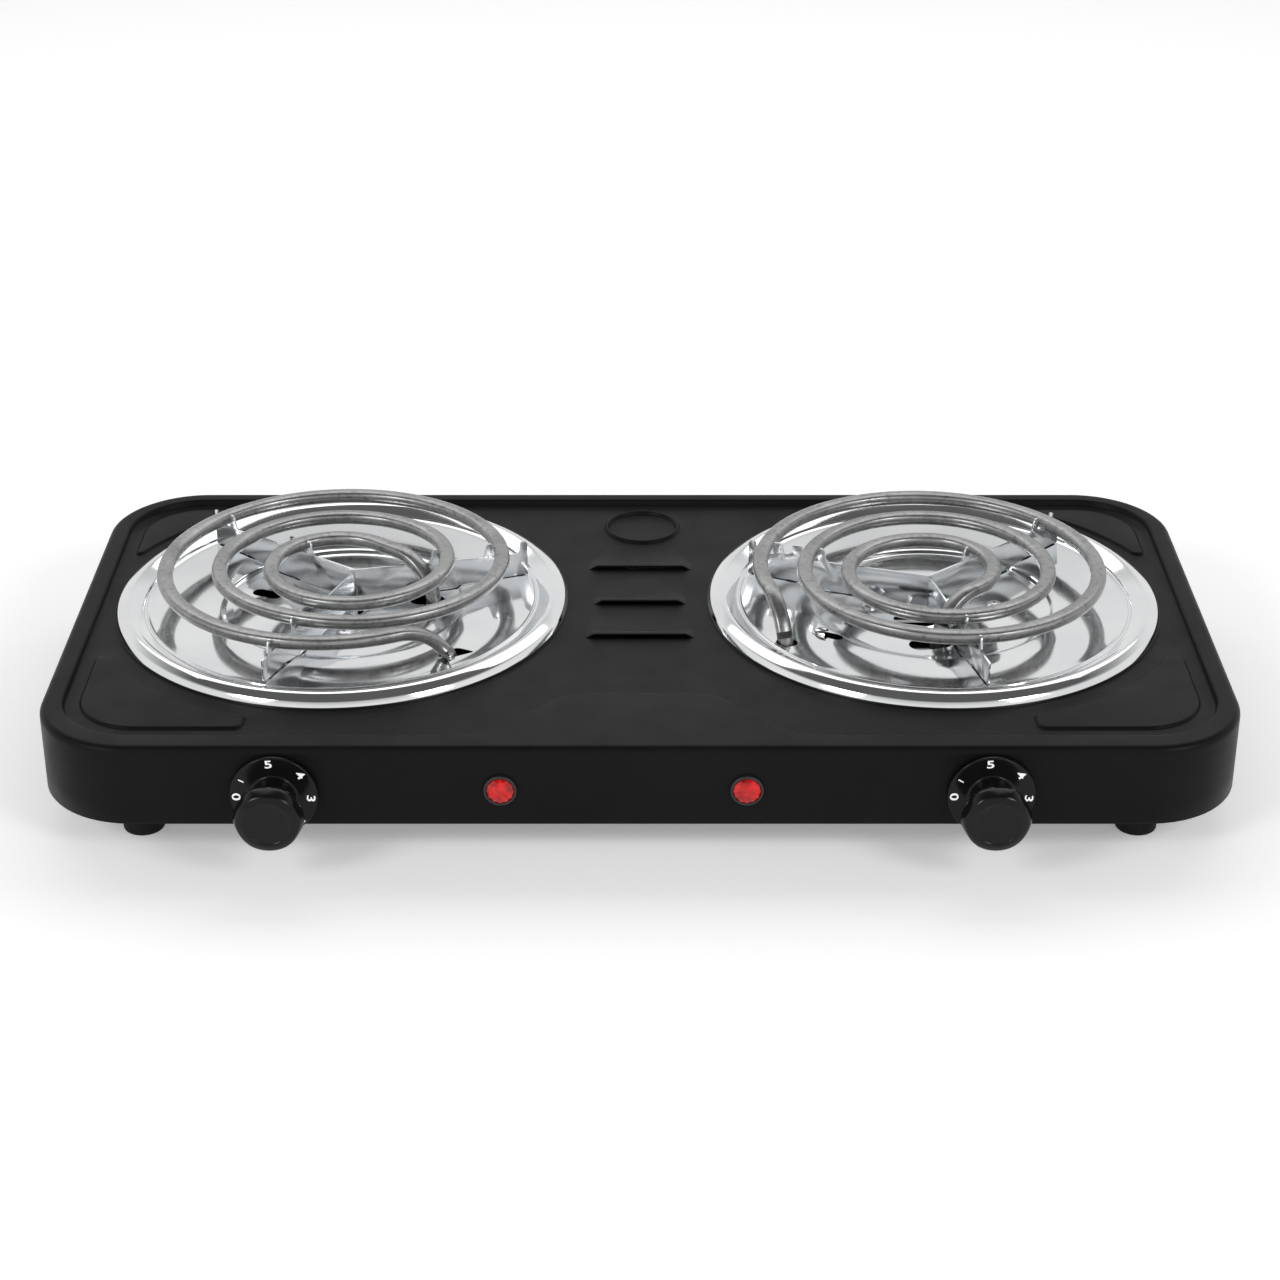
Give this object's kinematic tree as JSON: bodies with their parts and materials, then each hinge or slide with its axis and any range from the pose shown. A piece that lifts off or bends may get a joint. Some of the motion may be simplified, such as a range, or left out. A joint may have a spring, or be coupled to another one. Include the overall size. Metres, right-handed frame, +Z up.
{
  "type": "hot plate burner",
  "caption": "Low table-top electric hot plate: black pressed housing with spiral tube heating coils over chrome drip pans, dial knobs and red pilot lamps on the front.",
  "frame": {"origin": "middle of the whole object's footprint, on the plane the feet stand on", "axes": "+X to the user's right, +Y to the back, +Z up; the knobs are on the -Y side"},
  "size_m": [0.48, 0.271, 0.0667],
  "materials": {
    "housing_paint": "satin black paint on pressed sheet",
    "base_steel": "matte black paint",
    "zinc_steel": "bright zinc plate",
    "foot_rubber": "matte black moulded rubber",
    "grommet_rubber": "matte black moulded rubber",
    "pan_chrome": "mirror chrome plate",
    "coil_sheath": "mottled grey oxidised alloy tube",
    "support_steel": "spangled galvanised strip",
    "knob_plastic": "polished black moulding",
    "brass": "turned brass",
    "spindle_steel": "turned steel",
    "ceramic": "unglazed cream ceramic",
    "lens_red": "clear red faceted jewel",
    "holder_black": "dull black moulding",
    "neon_glass": "clear glass envelope",
    "lead_sleeve": "woven glass-fibre sleeve"
  },
  "bodies": {
    "housing": {"base_plate": "base_steel", "bimetal_strip_left": "spindle_steel", "bimetal_strip_right": "spindle_steel", "bushing_nuts": "brass", "coil_end_seals": "ceramic", "coil_support_left": "support_steel", "coil_support_right": "support_steel", "contact_blade_left": "brass", "contact_blade_right": "brass", "cord_grommet": "grommet_rubber", "corner_posts": "zinc_steel", "drip_pan_left": "pan_chrome", "drip_pan_right": "pan_chrome", "earth_screw": "zinc_steel", "earth_tag": "zinc_steel", "fixed_contact_left": "brass", "fixed_contact_right": "brass", "foot_front_left": "foot_rubber", "foot_front_right": "foot_rubber", "foot_rear_left": "foot_rubber", "foot_rear_right": "foot_rubber", "foot_screws": "zinc_steel", "heating_coil_left": "coil_sheath", "heating_coil_right": "coil_sheath", "housing_shell": "housing_paint", "lamp_holder_left": "holder_black", "lamp_holder_right": "holder_black", "lamp_retainers": "zinc_steel", "neon_bulb_left": "neon_glass", "neon_bulb_right": "neon_glass", "output_leads": "lead_sleeve", "pan_screws": "zinc_steel", "pan_strap_left": "zinc_steel", "pan_strap_right": "zinc_steel", "pilot_lens_left": "lens_red", "pilot_lens_right": "lens_red", "return_leads": "lead_sleeve", "stack_insulator_left": "ceramic", "stack_insulator_right": "ceramic", "stack_rivets": "zinc_steel", "supply_lead_left": "lead_sleeve", "supply_lead_right": "lead_sleeve", "support_arm_left": "support_steel", "support_arm_right": "support_steel", "terminal_block": "ceramic", "terminal_pins": "spindle_steel", "terminal_screws": "zinc_steel", "thermostat_bracket_left": "zinc_steel", "thermostat_bracket_right": "zinc_steel", "thermostat_bushing_left": "brass", "thermostat_bushing_right": "brass"},
    "left_knob": {"knob_left": "knob_plastic", "spindle_left": "spindle_steel", "knob_clip_left": "zinc_steel"},
    "right_knob": {"knob_right": "knob_plastic", "spindle_right": "spindle_steel", "knob_clip_right": "zinc_steel"},
    "left_push_pin": {"push_pin_left": "ceramic"},
    "right_push_pin": {"push_pin_right": "ceramic"}
  },
  "joints": [
    {"name": "left_knob_turn", "type": "hinge", "parent": "housing", "child": "left_knob", "pos_m": [-0.1427, -0.1105, 0.0302], "axis": [0, -1, 0], "range_deg": [0, 270]},
    {"name": "left_pin_slide", "type": "slide", "parent": "housing", "child": "left_push_pin", "axis": [0, 1, 0], "range_m": [0, 0.0005]},
    {"name": "right_knob_turn", "type": "hinge", "parent": "housing", "child": "right_knob", "pos_m": [0.137, -0.1105, 0.0302], "axis": [0, -1, 0], "range_deg": [0, 270]},
    {"name": "right_pin_slide", "type": "slide", "parent": "housing", "child": "right_push_pin", "axis": [0, 1, 0], "range_m": [0, 0.0005]}
  ],
  "couplings": [
    {"joint": "left_pin_slide", "follows": "left_knob_turn", "m_per_rad": 0.00010557},
    {"joint": "right_pin_slide", "follows": "right_knob_turn", "m_per_rad": 0.00010557}
  ]
}
